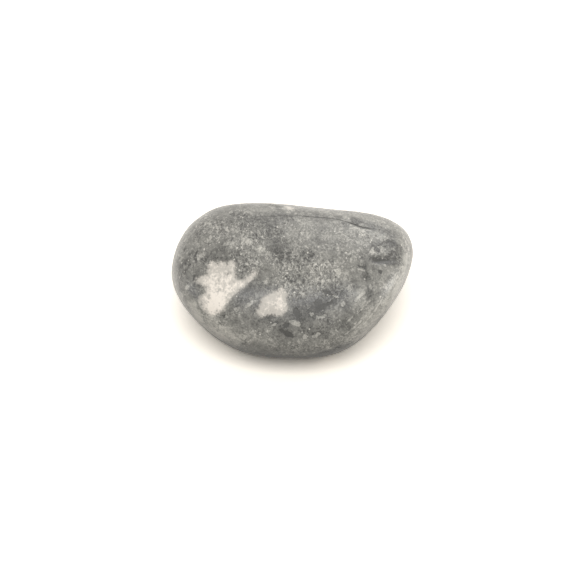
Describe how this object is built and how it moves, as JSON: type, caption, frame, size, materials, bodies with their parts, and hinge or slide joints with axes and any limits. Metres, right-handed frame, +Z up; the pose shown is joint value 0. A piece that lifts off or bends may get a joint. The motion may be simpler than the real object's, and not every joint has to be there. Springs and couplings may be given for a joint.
{
  "type": "tumbled bluestone pebble",
  "caption": "Smooth, tumbled pebble of spotted dolerite: grey and fine-grained with white feldspar spots, wedge-shaped from the side, lying on a small flat underside.",
  "frame": {"origin": "under the middle of the stone, on the plane of the flat patch it rests on", "axes": "+Z up, +X along the stone's length towards its pointed end, +Y towards the long slope at its back"},
  "size_m": [0.03, 0.0264, 0.0168],
  "materials": {
    "dolerite": "tumbled smooth, with a soft low sheen"
  },
  "bodies": {
    "root": {"stone": "dolerite"}
  },
  "joints": []
}
